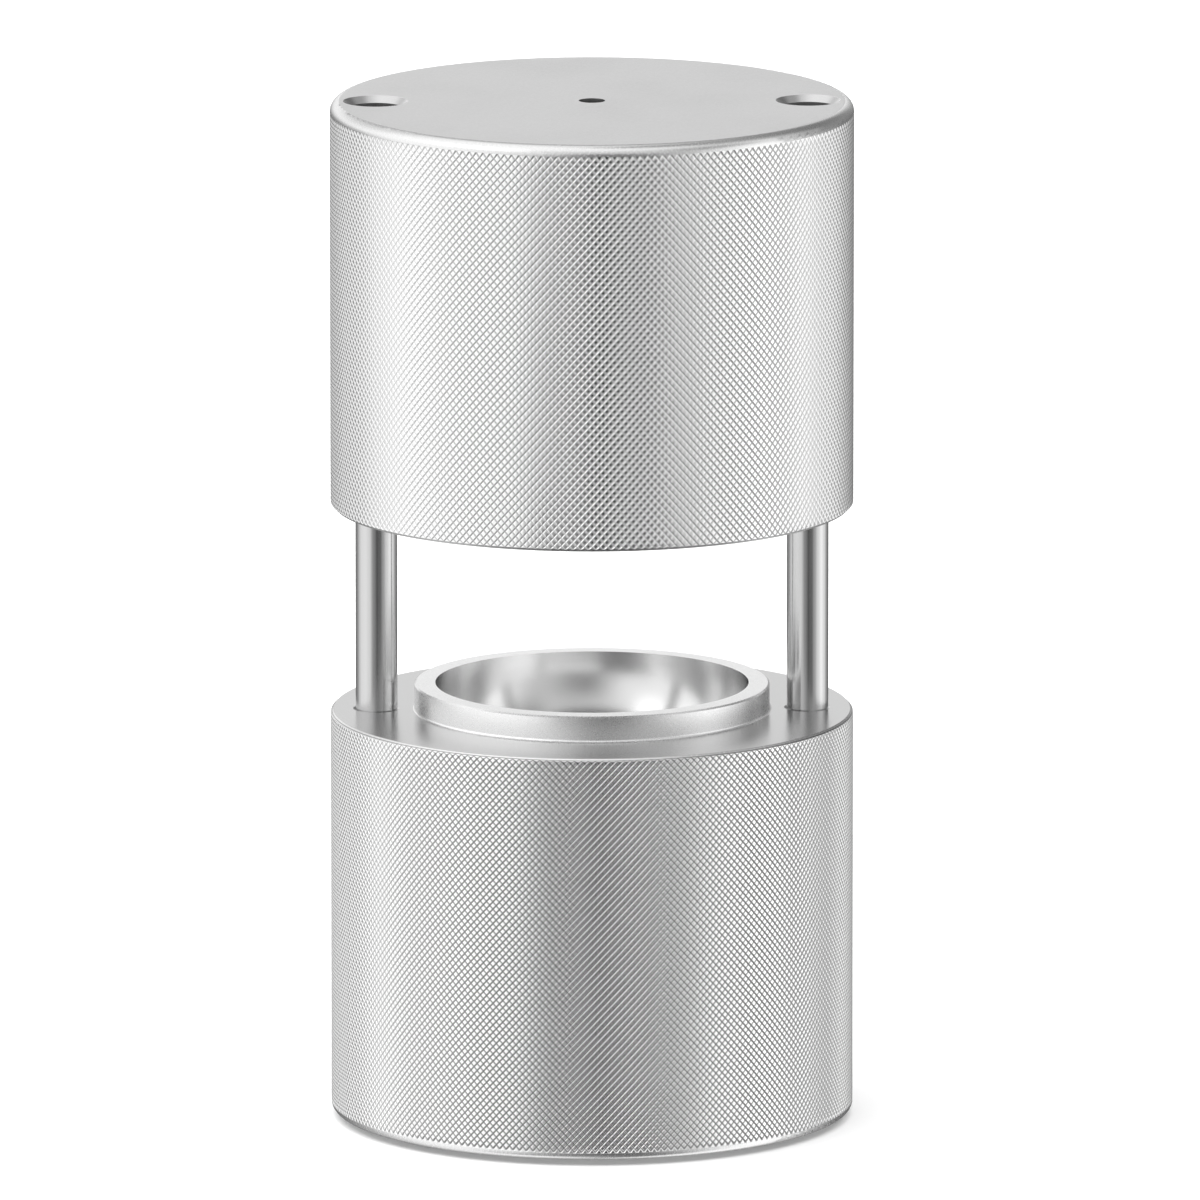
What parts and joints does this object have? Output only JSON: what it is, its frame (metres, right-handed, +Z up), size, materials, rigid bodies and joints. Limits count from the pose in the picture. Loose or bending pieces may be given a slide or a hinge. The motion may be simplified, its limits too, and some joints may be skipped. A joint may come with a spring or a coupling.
{
  "type": "ice ball press",
  "caption": "Ice ball press: two knurled aluminium cylinders, each with half a ball hollowed out, the upper one sliding on upright steel guide rods above the lower.",
  "frame": {"origin": "on the surface the press stands on, on the upright axis of both halves", "axes": "+Z up along the guide rods, +X from the left guide rod to the right one, the front faces -Y"},
  "size_m": [0.1, 0.1, 0.197],
  "materials": {
    "mould_aluminium": "fine bead-blasted faces and a rolled diamond knurl, clear",
    "rod_steel": "ground and polished stainless",
    "bush_polymer": "moulded, matte",
    "fastener_steel": "plain stainless",
    "foot_rubber": "matte"
  },
  "bodies": {
    "lower_half": {"lower_mould": "mould_aluminium", "left_guide_rod": "rod_steel", "left_rod_screw": "fastener_steel", "left_rod_washer": "fastener_steel", "right_guide_rod": "rod_steel", "right_rod_screw": "fastener_steel", "right_rod_washer": "fastener_steel", "foot_front_left": "foot_rubber", "foot_front_right": "foot_rubber", "foot_rear_left": "foot_rubber", "foot_rear_right": "foot_rubber"},
    "upper_half": {"upper_mould": "mould_aluminium", "left_lower_bush": "bush_polymer", "left_upper_bush": "bush_polymer", "right_lower_bush": "bush_polymer", "right_upper_bush": "bush_polymer"}
  },
  "joints": [
    {"name": "press_slide", "type": "slide", "parent": "lower_half", "child": "upper_half", "axis": [0, 0, 1], "range_m": [-0.04, 0.03]}
  ]
}
